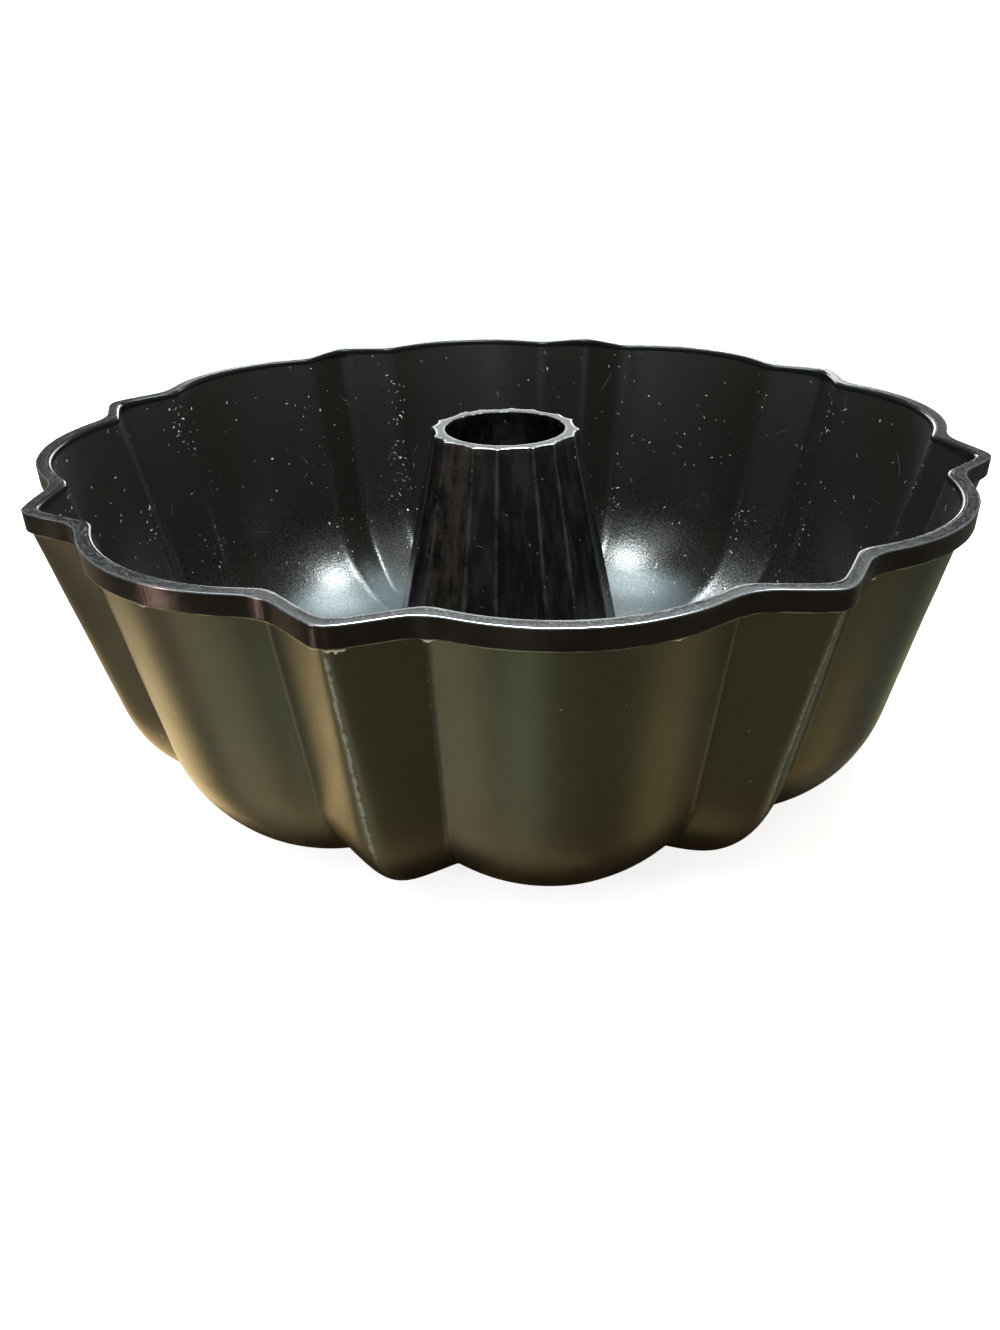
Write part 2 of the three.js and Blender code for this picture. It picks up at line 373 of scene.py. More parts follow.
def scattered_marks():
    """Short straight marks lying in the surface, each with its own direction: nicks, lint and scratches."""
    middle = (0.5, 0.5, 0.5)
    inputs = {"Spacing": 0.01, "Length": 0.001, "Width": 0.0002, "Share": 0.3, "Bend": 0.0, "Seed": 0.0}
    tree, bench, given, made = effect("scattered_marks", inputs, {"Mask": False, "Strength": False})
    seed = bench.add("CombineXYZ", {0: given["Seed"], 1: given["Seed"], 2: given["Seed"]}).outputs[0]
    place = bench.aim("ADD", bench.place(), seed)
    often = bench.sum("DIVIDE", 1.0, given["Spacing"])
    sway = bench.add("TexNoise", {"Vector": place, "Scale": bench.sum("MULTIPLY", often, 1.6)}).outputs[1]
    sway = bench.aim("SUBTRACT", sway, middle)
    swing = bench.sum("MULTIPLY", given["Bend"], given["Spacing"])
    place = bench.aim("ADD", place, bench.scaled(sway, swing))
    cells = bench.add("TexVoronoi", {"Vector": place, "Scale": often})
    centre = cells.outputs["Position"]
    chance = bench.add("TexWhiteNoise", {"Vector": bench.scaled(centre, 977.0)})
    facing = bench.add("NewGeometry").outputs["Normal"]
    offset = bench.aim("SUBTRACT", place, centre)
    offset = bench.aim("SUBTRACT", offset, bench.scaled(facing, bench.aim("DOT_PRODUCT", offset, facing)))
    way = bench.aim("SUBTRACT", cells.outputs["Color"], middle)
    way = bench.aim("SUBTRACT", way, bench.scaled(facing, bench.aim("DOT_PRODUCT", way, facing)))
    way = bench.aim("NORMALIZE", way)
    along = bench.aim("DOT_PRODUCT", offset, way)
    across = bench.aim("LENGTH", bench.aim("SUBTRACT", offset, bench.scaled(way, along)))
    pick = bench.add("SeparateColor", {0: chance.outputs["Color"]}).outputs
    reach = bench.sum("MULTIPLY", given["Length"], bench.sum("MULTIPLY_ADD", pick[0], 0.75, 0.25))
    thick = bench.sum("MULTIPLY", given["Width"], bench.sum("MULTIPLY_ADD", pick[1], 0.8, 0.4))
    inside = bench.step(bench.sum("DIVIDE", across, thick), 1.0, 0.35)
    within = bench.step(bench.sum("DIVIDE", bench.sum("ABSOLUTE", along), reach), 1.0, 0.6)
    there = bench.sum("LESS_THAN", chance.outputs["Value"], given["Share"])
    bench.put(made["Mask"], bench.sum("MULTIPLY", bench.sum("MULTIPLY", inside, within), there))
    bench.put(made["Strength"], pick[2])
    return tree


def worn_edges():
    """Where the coat is rubbed off: the piece's worn edges, broken up by noise."""
    inputs = {"Reach": 0.5, "Breakup": 0.002, "Amount": 0.5}
    tree, bench, given, made = effect("worn_edges", inputs, {"Mask": False})
    rub = bench.cloud(bench.sum("DIVIDE", 1.0, given["Breakup"]), 4.0, 0.65)
    shift = bench.sum("MULTIPLY", bench.sum("SUBTRACT", rub, 0.5), given["Amount"])
    edge = bench.sum("ADD", bench.mark("worn_edge"), shift)
    low = bench.sum("SUBTRACT", 1.0, given["Reach"])
    bench.put(made["Mask"], bench.step(edge, low, bench.sum("ADD", low, 0.25)))
    return tree


GRAIN, SPECKS, WEAR = coating_grain(), scattered_marks(), worn_edges()
BARE_METAL = (0.8, 0.8, 0.74, 1.0)


def used_nonstick():
    """A used black coat: grey on the floor, partly scuffed and partly a painted glow of reflected light;
    scratched, with lint, and nicks and crusts along the ridges.

    Gloss is speckled low down, where the coat is scuffed, and even above.
    """
    scuffed_and_glow_grey = (0.042, 0.049, 0.05, 1.0)
    inputs = {"Black": (0.012, 0.0125, 0.011, 1.0), "Bare": BARE_METAL, "Crowding": 0.5}
    outputs = {"Colour": True, "Roughness": False, "Height": False, "Gloss": False}
    tree, bench, given, made = effect("used_nonstick", inputs, outputs)
    grain = bench.use(GRAIN, size=0.0007)
    patches = bench.step(bench.cloud(0.016, 3.0), 0.46, 0.64)
    ridges = bench.sum("MULTIPLY", bench.mark("crease"), given["Crowding"])
    crowd = bench.sum("MULTIPLY_ADD", bench.sum("ADD", ridges, 0.05), patches, 0.012)
    nicks = bench.use(SPECKS, spacing=0.0023, length=0.0012, width=0.00015, share=crowd, bend=0.9, seed=0.11)
    crusts = bench.sum("MULTIPLY", bench.sum("MULTIPLY", ridges, patches), 0.12)
    crusts = bench.use(SPECKS, spacing=0.006, length=0.0009, width=0.0006, share=crusts, bend=0.9, seed=0.21)
    lint = bench.use(SPECKS, spacing=0.01, length=0.0019, width=0.00018, share=0.22, bend=0.5, seed=0.37)
    scratches = bench.use(SPECKS, spacing=0.03, length=0.009, width=0.00014, share=0.45, bend=0.12, seed=0.73)
    lint_shows = bench.sum("MULTIPLY", lint["Mask"], bench.sum("MULTIPLY_ADD", lint["Strength"], 0.8, 0.1))
    nicks_show = bench.sum("MULTIPLY", nicks["Mask"], bench.sum("MULTIPLY_ADD", nicks["Strength"], 0.8, 0.2))
    bright = bench.sum("MAXIMUM", bench.sum("MAXIMUM", nicks_show, lint_shows), crusts["Mask"])
    faint = bench.sum("MULTIPLY", scratches["Mask"], bench.sum("MULTIPLY", scratches["Strength"], 0.16))
    height = bench.height()
    # The floor turns grey: a scuffed coat, and a painted glow of reflected light
    scuffed_and_glowing = bench.step(bench.sum("MULTIPLY_ADD", grain["Grit"], -0.006, height), 0.01, 0.001)
    ground = bench.blend(scuffed_and_glowing, given["Black"], scuffed_and_glow_grey)
    bench.put(made["Colour"], bench.blend(bench.sum("MAXIMUM", bright, faint), ground, given["Bare"]))
    scuffed = bench.step(height, 0.05, 0.025)
    trodden = bench.step(height, 0.01, 0.004, 0.0, 0.1)
    roughness = bench.sum("ADD", bench.step(grain["Mottle"], 0.3, 0.75, 0.22, 0.26), trodden)
    bench.put(made["Roughness"], bench.sum("ADD", roughness, bench.sum("MULTIPLY", bright, 0.25)))
    bench.put(made["Height"], grain["Height"])
    specks = bench.step(grain["Grit"], 0.44, 0.6, -0.5, 0.5)
    bench.put(made["Gloss"], bench.sum("MULTIPLY_ADD", specks, scuffed, 0.5))
    return tree


NONSTICK = used_nonstick()


class Finish(Bench):
    """One material: a Principled shader, and the bench that feeds it."""

    def __init__(self, name, **constants):
        self.material = bpy.data.materials.new(name)
        self.material.use_nodes = True
        super().__init__(self.material.node_tree)
        self.shader = self.tree.nodes["Principled BSDF"]
        for socket, value in constants.items():
            self.shader.inputs[socket.replace("_", " ").title().replace("Ior", "IOR")].default_value = value

    def raise_surface(self, height, strength, distance):
        bump = self.add("Bump", {"Strength": strength, "Distance": distance, "Height": height})
        self.put(self.shader.inputs["Normal"], bump.outputs[0])

    def set(self, **sockets):
        for socket, value in sockets.items():
            self.put(self.shader.inputs[socket.replace("_", " ").title()], value)


def inside_nonstick():
    """The used coat under a second, duller gloss."""
    black = (0.005, 0.0045, 0.0028, 1.0)
    finish = Finish("inside_nonstick", ior=1.5, coat_roughness=0.44)
    coat = finish.use(NONSTICK, black=black, bare=BARE_METAL, crowding=0.65)
    finish.set(base_color=coat["Colour"], roughness=coat["Roughness"], coat_weight=coat["Gloss"])
    finish.raise_surface(coat["Height"], 0.6, 0.0002)
    return finish.material


def tube_nonstick():
    """The used coat with rubbed ridges, brown down one side, and a ground gritty top."""
    black, bare_coat = (0.0035, 0.0038, 0.0032, 1.0), (0.6, 0.6, 0.56, 1.0)
    dull, side_brown = (0.014, 0.0138, 0.012, 1.0), (0.05, 0.033, 0.026, 1.0)
    rubbed_grey, worn_metal = (0.045, 0.045, 0.042, 1.0), (0.34, 0.34, 0.32, 1.0)
    pit, ground_metal = (0.003, 0.003, 0.003, 1.0), (0.05, 0.05, 0.047, 1.0)
    browned_side = (-0.44, -0.9, 0.0)
    finish = Finish("tube_nonstick", ior=1.5)
    coat = finish.use(NONSTICK, black=black, bare=bare_coat, crowding=0.2)
    place = finish.place()
    around = finish.aim("NORMALIZE", finish.aim("MULTIPLY", place, (1.0, 1.0, 0.0)))
    # A brown tint in runs and blotches down one side of the tube
    browned = finish.step(finish.aim("DOT_PRODUCT", around, browned_side), 0.93, 0.992)
    runs = finish.cloud(0.003, 3.0, 0.6, finish.aim("MULTIPLY", place, (1.0, 1.0, 0.12)))
    blotches = finish.cloud(0.006, 4.0, 0.7)
    browned = finish.sum("MULTIPLY", browned, finish.step(finish.sum("ADD", runs, blotches), 0.75, 1.15))
    dulled = finish.blend(finish.step(runs, 0.4, 0.7), coat["Colour"], dull)
    colour = finish.blend(finish.sum("MULTIPLY", browned, 0.55), dulled, side_brown)
    rubbed = finish.sum("ADD", finish.mark("crease"), finish.sum("ADD", blotches, runs))
    rubbed = finish.step(rubbed, 1.6, 2.2)
    colour = finish.blend(finish.sum("MULTIPLY", rubbed, 0.8), colour, rubbed_grey)
    grit = finish.use(GRAIN, size=0.0005)["Grit"]
    ring = finish.blend(finish.step(grit, 0.45, 0.65), pit, ground_metal)
    colour = finish.blend(finish.mark("cap_face"), colour, ring)
    worn = finish.use(WEAR, reach=0.3, breakup=0.0016, amount=1.4)["Mask"]
    colour = finish.blend(worn, colour, worn_metal)
    rough = finish.sum("MAXIMUM", coat["Roughness"], finish.sum("MULTIPLY", finish.mark("cap_face"), 0.5))
    bare = finish.sum("MAXIMUM", finish.sum("MULTIPLY", worn, 0.7), finish.mark("cap_face"))
    finish.set(base_color=colour, roughness=rough, metallic=bare)
    height = finish.sum("ADD", coat["Height"], finish.sum("MULTIPLY", grit, finish.mark("cap_face")))
    finish.raise_surface(height, 0.4, 0.00008)
    return finish.material


def bronze_enamel():
    """Olive bronze with worn ribs and chipped flanks.

    A painted warm reflection browns it towards the foot, and painted shade darkens it where it turns under
    and in the valleys.
    """
    olive, amber, foot_shade = (0.118, 0.111, 0.066, 1.0), (0.155, 0.112, 0.055, 1.0), (0.1, 0.05, 0.032, 1.0)
    valley_shade, worn_metal, chipped = (0.028, 0.025, 0.017, 1.0), (0.36, 0.37, 0.32, 1.0), (0.5, 0.45, 0.3, 1.0)
    finish = Finish("bronze_enamel", metallic=0.9, ior=1.45)
    grain = finish.use(GRAIN, size=0.0009)
    height = finish.height()
    low = finish.sum("ADD", height, finish.sum("MULTIPLY", grain["Mottle"], 0.02))
    # Browner towards the foot: a painted warm reflection of the table the pan stands on
    painted_table_reflection = finish.step(low, 0.065, 0.012)
    colour = finish.blend(painted_table_reflection, olive, amber)
    # Painted shade: dark red-brown where the wall turns under at the foot
    colour = finish.blend(finish.step(low, 0.018, 0.009), colour, foot_shade)
    # Painted shade in the valleys, along the crease mark and broken up by noise
    painted_valley_shade = finish.sum("ADD", finish.mark("crease"), finish.sum("MULTIPLY", finish.cloud(0.004), 0.6))
    painted_valley_shade = finish.sum("MULTIPLY", finish.step(painted_valley_shade, 0.7, 1.2), 0.5)
    colour = finish.blend(painted_valley_shade, colour, valley_shade)
    worn = finish.use(WEAR, reach=0.3, breakup=0.0022, amount=1.8)["Mask"]
    colour = finish.blend(finish.sum("MULTIPLY", worn, 0.6), colour, worn_metal)
    often = finish.sum("MULTIPLY_ADD", finish.mark("flank"), 0.16, 0.03)
    chips = finish.use(SPECKS, spacing=0.011, length=0.0011, width=0.0003, share=often, bend=0.3, seed=0.53)
    colour = finish.blend(chips["Mask"], colour, chipped)
    roughness = finish.step(grain["Mottle"], 0.3, 0.7, 0.28, 0.33)
    finish.set(base_color=colour, roughness=roughness)
    finish.raise_surface(grain["Mottle"], 0.15, 0.0004)
    return finish.material


def rim_enamel():
    """Streaked brown enamel on the skirt, a gritty cap, bright worn edges, pale flash and a black lip."""
    umber, brown, black = (0.028, 0.025, 0.019, 1.0), (0.052, 0.038, 0.031, 1.0), (0.006, 0.006, 0.006, 1.0)
    pit, speck, worn_metal = (0.0015, 0.0015, 0.0018, 1.0), (0.07, 0.066, 0.062, 1.0), (0.6, 0.62, 0.66, 1.0)
    flash_tan, crumb_cream = (0.3, 0.29, 0.19, 1.0), (0.8, 0.76, 0.56, 1.0)
    finish = Finish("rim_enamel", ior=1.5, specular_ior_level=0.15)
    grain = finish.use(GRAIN, size=0.0006)
    enamel = finish.blend(grain["Mottle"], umber, brown)
    colour = finish.blend(finish.mark("skirt_face"), black, enamel)
    grit = finish.blend(finish.step(grain["Grit"], 0.5, 0.62), pit, speck)
    colour = finish.blend(finish.mark("cap_face"), colour, grit)
    flash = finish.sum("ADD", finish.mark("foot_line"), finish.sum("MULTIPLY", finish.cloud(0.006, 3.0), 0.8))
    flash = finish.step(flash, 1.25, 1.5)
    colour = finish.blend(flash, colour, flash_tan)
    crumb = finish.step(finish.mark("foot_line"), 1.2, 1.5)
    colour = finish.blend(crumb, colour, crumb_cream)
    worn = finish.use(WEAR, reach=0.5, breakup=0.0035, amount=0.7)["Mask"]
    colour = finish.blend(worn, colour, worn_metal)
    roughness = finish.step(grain["Mottle"], 0.3, 0.7, 0.2, 0.26)
    roughness = finish.sum("MAXIMUM", roughness, finish.sum("MULTIPLY", finish.mark("cap_face"), 0.34))
    side = finish.sum("MULTIPLY", finish.sum("SUBTRACT", finish.mark("skirt_face"), crumb), 0.6)
    finish.set(base_color=colour, roughness=roughness, metallic=finish.sum("MAXIMUM", worn, side))
    upright = finish.aim("MULTIPLY", finish.place(), (1.0, 1.0, 0.2))
    streaks = finish.sum("MULTIPLY", finish.cloud(0.0011, 3.0, 0.6, upright), finish.mark("skirt_face"))
    height = finish.sum("MULTIPLY", grain["Grit"], finish.mark("cap_face"))
    finish.raise_surface(finish.sum("ADD", streaks, height), 0.5, 0.0001)
    return finish.material


def lock_ring_metal():
    """Satin dark enamel with worn edges."""
    dark, light, worn_metal = (0.06, 0.056, 0.048, 1.0), (0.14, 0.132, 0.115, 1.0), (0.5, 0.49, 0.46, 1.0)
    finish = Finish("lock_ring_metal", metallic=0.8, ior=1.45)
    grain = finish.use(GRAIN, size=0.0005)
    colour = finish.blend(grain["Mottle"], dark, light)
    worn = finish.use(WEAR, reach=0.5, breakup=0.002, amount=0.8)["Mask"]
    colour = finish.blend(worn, colour, worn_metal)
    finish.set(base_color=colour, roughness=finish.step(grain["Mottle"], 0.3, 0.7, 0.34, 0.5))
    finish.raise_surface(grain["Height"], 0.25, 0.00004)
    return finish.material


# The shell


def shell_stations():
    """Places on the outside of the pan's section from the tube's hole out and up to the rim.

    Each is (radius, height, lean, push, flutes): how far the wall has turned from upright to flat, how far
    the depth of the flutes has, and how much of that depth there is.
    """
    flat = math.pi / 2
    places = [(FLOOR_HOLE + SEAT_MARGIN * i / 2, SEAT_HEIGHT, flat, flat, 0.0) for i in range(3)]
    places.append((SEAT_RADIUS - SEAT_MARGIN, SEAT_HEIGHT, flat, flat, 0.0))
    for way in np.linspace(0, 1, 11):
        rise = float(ease(way))
        radius = SEAT_RADIUS + SEAT_RAMP * way
        places.append((radius, SEAT_HEIGHT - (SEAT_HEIGHT + FOOT_CUT) * rise, flat, flat, rise))
    for way in np.linspace(0, 1, 7)[1:-1]:
        start = SEAT_RADIUS + SEAT_RAMP
        places.append((start + (CORNER_CENTRE - start) * way, -FOOT_CUT, flat, flat, 1.0))
    for push in np.linspace(flat, 0, 25):
        lean = WALL_DRAFT + (1 - WALL_DRAFT / flat) * push
        radius = CORNER_CENTRE + CORNER_RADIUS * math.cos(lean)
        places.append((radius, CORNER_HEIGHT - CORNER_RADIUS * math.sin(lean), lean, push, 1.0))
    foot_of_wall = places[-1]
    for way in (0.08, 0.18, 0.3, 0.42, 0.54, 0.66, 0.77, 0.86, 0.92, 0.96, 0.985, 1.0):
        radius = foot_of_wall[0] + (WALL_TOP_RADIUS - foot_of_wall[0]) * way
        height = foot_of_wall[1] + (WALL_TOP - foot_of_wall[1]) * way
        places.append((radius, height, WALL_DRAFT, 0.0, 1.0))
    return places


def outside_line(place):
    """One line on the outside. Ribs, and valleys on the rib's side, are worn, less so towards the foot."""
    radius, height, _, push, flutes = place
    below_rim = np.clip((WALL_TOP - height) / WALL_TOP, 0, 1)
    tip_round = RIB_ROUND_AT_RIM + (RIB_ROUND_AT_FOOT - RIB_ROUND_AT_RIM) * below_rim
    depth = flutes * (1 - outline(PAN_COLUMNS, tip_round, WALL_VALLEY_BLEND) / RIB_TIP_RADIUS) * radius
    depth = depth + WALL_WAVINESS * ease(below_rim * 6) * flutes * unevenness(PAN_COLUMNS, height, 1)
    tall = filled_corner(height + depth * math.sin(push), 0.0, FOOT_CUT)
    apex = bell(FROM_RIB * radius, 0.7 + 0.5 * below_rim) * flutes * ease((height - 8) / 20)
    beside = 0.6 * bell((FROM_RIB - VALLEY) * radius + 0.9, 0.6) * flutes * ease((height - 30) / 30)
    crease = bell((FROM_RIB - VALLEY) * radius, 0.5) * flutes
    flank = bell((FROM_RIB - VALLEY / 2) * radius, 5.0) * flutes
    return line(radius - depth * math.cos(push), tall, worn_edge=apex + beside, crease=crease, flank=flank)


def inside_line(place):
    """One line on the inside, a wall's thickness in from the outside and never lower than the floor."""
    radius, height, lean, push, flutes = place
    depth = flutes * (1 - outline(PAN_COLUMNS, GROOVE_ROUND, INSIDE_VALLEY_BLEND) / RIB_TIP_RADIUS) * radius
    depth = depth + INSIDE_WAVINESS * flutes * unevenness(PAN_COLUMNS, height, 4)
    tall = height + WALL * math.sin(lean) + depth * math.sin(push)
    tall = filled_corner(tall, FLOOR_LEFT, FLOOR_BLEND)
    crease = bell((FROM_RIB - VALLEY) * radius, 4.5) * flutes * ease((height + 2) / 8)
    return line(radius - WALL * math.cos(lean) - depth * math.cos(push), tall, 1, crease=crease)


def fluted_shell():
    places = shell_stations()
    outside = [outside_line(place) for place in places]
    inside = [inside_line(place) for place in reversed(places)]
    outside[-1]["finish"] = 1
    inside[-1]["finish"] = 0
    finishes = [bronze_enamel(), inside_nonstick()]
    turned_piece("pan_shell", "fluted_shell", PAN_COLUMNS, outside + inside, finishes)


# The rim band

# Crumbs of casting flash under the skirt, as (degrees round the turn, drop in mm, width in degrees)
FLASH_CRUMBS = (
    (-90.8, 0.35, 0.9), (-89.4, 0.8, 0.25), (-88.8, 1.2, 0.2), (-88.3, 0.7, 0.2), (-81.8, 0.8, 0.4),
    (-61.0, 0.5, 0.4), (-37.5, 0.6, 0.4), (4.0, 0.8, 0.4), (61.0, 0.7, 0.4), (118.0, 0.6, 0.4),
    (149.0, 0.9, 0.4), (186.0, 0.6, 0.4), (214.0, 0.7, 0.4), (251.0, 0.6, 0.4),
)


def rim_band():
    outer = outline(PAN_COLUMNS, RIB_TIP_ROUND, VALLEY_BLEND)
    wall_inside = outline(PAN_COLUMNS, GROOVE_ROUND, INSIDE_VALLEY_BLEND) * WALL_TOP_RADIUS / RIB_TIP_RADIUS
    wall_inside = wall_inside - WALL_ACROSS
    cap_width = RIM_OVERHANG + WALL_ACROSS + RIM_LIP
    inner = np.minimum(outer * (1 - cap_width / RIB_TIP_RADIUS), wall_inside - RIM_LIP)
    skirt_inset = RIM_OVERHANG - FIT_GAP
    top, foot, under = PAN_HEIGHT, PAN_HEIGHT - RIM_SKIRT, PAN_HEIGHT - RIM_CAP
    edge, cap = {"worn_edge": 1.0, "cap_face": 0.4}, {"cap_face": 1.0}
    lip_start = cap_width - RIM_LIP_ROUND
    side = {"skirt_face": 1.0}
    corners = [
        (0.0, foot, 0.3, 3, {"foot_line": 1.0, **side}),
        (0.0, foot + 0.7, 0, 0, {"foot_line": 0.25, **side}),
        (0.0, foot + 1.4, 0, 0, side),
        (0.0, top - 1.7, 0, 0, side),
        (0.0, top - 0.4, 0, 0, {"worn_edge": 0.1, **side}),
        (0.0, top, 0.22, 5, edge),
        (0.42, top, 0, 0, {"worn_edge": 0.25, "cap_face": 1.0}),
        (0.9, top - CAP_HOLLOW, 0, 0, cap),
        (lip_start - 0.5, top - CAP_HOLLOW, 0, 0, cap),
        (lip_start - 0.1, top, 0, 0, {"worn_edge": 0.58, "cap_face": 0.9}),
        (cap_width, top, RIM_LIP_ROUND, 8, {}),
        (cap_width, under - CAP_SINK, 0.2, 2, {}),
        (skirt_inset, under - CAP_SINK, 0, 0, side),
        (skirt_inset, foot, 0.25, 2, {"foot_line": 0.6, **side}),
    ]
    lines = []
    nibbled = roughened(len(PAN_COLUMNS), 5, 3) * RIM_NIBBLES
    ragged = roughened(len(PAN_COLUMNS), 9, 2) * FLASH_RAGGEDNESS
    degrees = np.degrees((PAN_COLUMNS + math.pi) % (2 * math.pi) - math.pi)
    crumbs = sum(drop * bell((degrees - at + 180) % 360 - 180, width) for at, drop, width in FLASH_CRUMBS)
    for across, height, marks in rounded_section(corners):
        share = across / cap_width
        radius = outer + (inner - outer) * share
        wear = marks.get("worn_edge", 0.0)
        radius = radius + nibbled * wear * (1.0 if share > 0.5 else -0.6)
        tall = height + CAP_WAVINESS * unevenness(PAN_COLUMNS, 0.0, 2) * marks.get("cap_face", 0.0)
        hang = marks.get("foot_line", 0.0) * (ragged - crumbs * 0.8)
        marks = {**marks, "foot_line": marks.get("foot_line", 0.0) * (1 + 1.2 * crumbs)}
        radius = np.minimum(radius + crumbs * marks["foot_line"] * 0.1, RIB_TIP_RADIUS)
        lines.append(line(radius, np.minimum(tall + hang, PAN_HEIGHT), **marks))
    turned_piece("rim_rolled_band", "rim_band", PAN_COLUMNS, lines, [rim_enamel()])


# The centre tube and its lock ring


def tube_flute(angle):
    """Depth of the tube's flutes: narrow facing the ribs, wide facing the lobes, with soft ridges between."""
    total = 0.0
    spread = np.radians(np.array((-0.9, -0.45, 0.0, 0.45, 0.9)))
    for turn in spread:
        away = from_rib(angle + turn)
        narrow = away < TUBE_NARROW_FLUTE / 2
        middle = np.where(narrow, away, RIB_PITCH / 2 - away)
        width = np.where(narrow, TUBE_NARROW_FLUTE, RIB_PITCH - TUBE_NARROW_FLUTE)
        depth = np.where(narrow, TUBE_NARROW_DEPTH, TUBE_WIDE_DEPTH)
        total = total + depth * (1 - (2 * middle / width) ** 2)
    return total / len(spread)


def tube_cone(height):
    """Radius of the tube's outside at a height, over its flutes."""
    return TUBE_FOOT_RADIUS - math.tan(TUBE_DRAFT) * (height - TUBE_FOOT)


def centre_tube():
    flute = tube_flute(TUBE_COLUMNS)
    ridge = bell((from_rib(TUBE_COLUMNS) - TUBE_NARROW_FLUTE / 2) * TUBE_TOP_RADIUS, 0.9)
    burr = ridge * (0.35 + 0.2 * roughened(len(TUBE_COLUMNS), 21, 6))
    nibbled = roughened(len(TUBE_COLUMNS), 23, 3) * TUBE_NIBBLES
    lines = [line(SPIGOT_RADIUS, SPIGOT_END + SPIGOT_BEVEL), line(SPIGOT_RADIUS, TUBE_FOOT)]
    for way in np.linspace(0, 1, 5):
        flare = TUBE_FLARE * (1 - way) ** 2
        height = TUBE_FOOT + TUBE_FLARE_START + TUBE_FLARE_HEIGHT * way
        radius = tube_cone(height) - flute * ease(way + 0.3) + flare
        lines.append(line(radius, height - TUBE_FLARE_SINK * (1 - way)))
    low, high = TUBE_FOOT + TUBE_FLARE_START + TUBE_FLARE_HEIGHT, TUBE_TOP - TUBE_EDGE
    for way in (0.1, 0.22, 0.35, 0.48, 0.6, 0.72, 0.82, 0.9, 0.95, 0.98, 1.0):
        height = low + (high - low) * way
        tip = bell(TUBE_TOP - height, 2.2)
        wear = 0.4 * bell(TUBE_TOP - height, 0.9)
        lines.append(line(tube_cone(height) - flute + burr * tip, height, worn_edge=wear, crease=ridge))
    rim = TUBE_TOP_RADIUS - flute + burr
    for inset, drop, wear in ((0.06, 0.22, 0.9), (0.2, 0.07, 1.0), (TUBE_EDGE_WIDTH, 0.0, 0.8)):
        lines.append(line(rim - inset + nibbled, TUBE_TOP - drop, worn_edge=wear, cap_face=0.7))
    bore = TUBE_TOP_RADIUS - TUBE_WALL
    width = rim - TUBE_EDGE_WIDTH - (bore + TUBE_EDGE)
    for share in (0.3, 0.5, 0.7):
        radius = rim - TUBE_EDGE_WIDTH - width * share
        lines.append(line(radius, TUBE_TOP - CAP_HOLLOW, cap_face=1.0, worn_edge=0.12))
    for reach, drop, wear in ((0.4, 0.0, 0.5), (0.18, 0.06, 0.72), (0.05, 0.2, 0.6), (0.0, 0.5, 0.2)):
        face = 0.8 if drop < 0.1 else 0.0
        lines.append(line(bore + reach + nibbled, TUBE_TOP - drop, worn_edge=wear, cap_face=face))
    for way in (0.05, 0.2, 0.4, 0.6, 0.8, 1.0):
        lines.append(line(bore + (SPIGOT_BORE - bore) * way, TUBE_TOP - (TUBE_TOP - TUBE_FOOT) * way))
    lines.append(line(SPIGOT_BORE, SPIGOT_END + SPIGOT_BEVEL))
    lines.append(line(SPIGOT_BORE + SPIGOT_BEVEL, SPIGOT_END))
    lines.append(line(SPIGOT_RADIUS - SPIGOT_BEVEL, SPIGOT_END))
    finishes = [tube_nonstick()]
    turned_piece("fluted_centre_tube", "centre_tube", TUBE_COLUMNS, lines, finishes)


def tube_lock_ring():
    inner = SPIGOT_RADIUS + FIT_GAP
    outer = inner + LOCK_RING_WIDTH
    top = SEAT_HEIGHT - FIT_GAP
    bottom = top - LOCK_RING_HEIGHT
    worn = {"worn_edge": 1.0}
    corners = [
        (outer, bottom, 0.5, 4, worn),
        (outer, top, 0.3, 3, worn),
        (inner, top, 0.2, 2, {}),
        (inner, bottom, 0.4, 3, worn),
        (inner + LOCK_RING_EDGE, bottom, 0, 0, {}),
        (outer - LOCK_RING_EDGE, bottom, 0, 0, {}),
    ]
    lines = [line(across, height, **marks) for across, height, marks in rounded_section(corners)]
    finishes = [lock_ring_metal()]
    turned_piece("tube_press_ring", "tube_lock_ring", TUBE_COLUMNS, lines, finishes)


# The stage: a plain pale floor, soft studio light and the photograph's camera

FLOOR_SIZE = 60.0
WHITE, BLACK = (1.0, 1.0, 1.0, 1.0), (0.0, 0.0, 0.0, 1.0)
PAPER_GLOW = (0.84, 0.84, 0.84, 1.0)  # near the pan; further off it is white
TABLE_SHINE = (0.6, 0.56, 0.5, 1.0)
ROOM_COLOUR, ROOM_STRENGTH = (1.0, 0.98, 0.93, 1.0), 0.12
LIGHT_AIM = Vector((0, 0, 0.04))


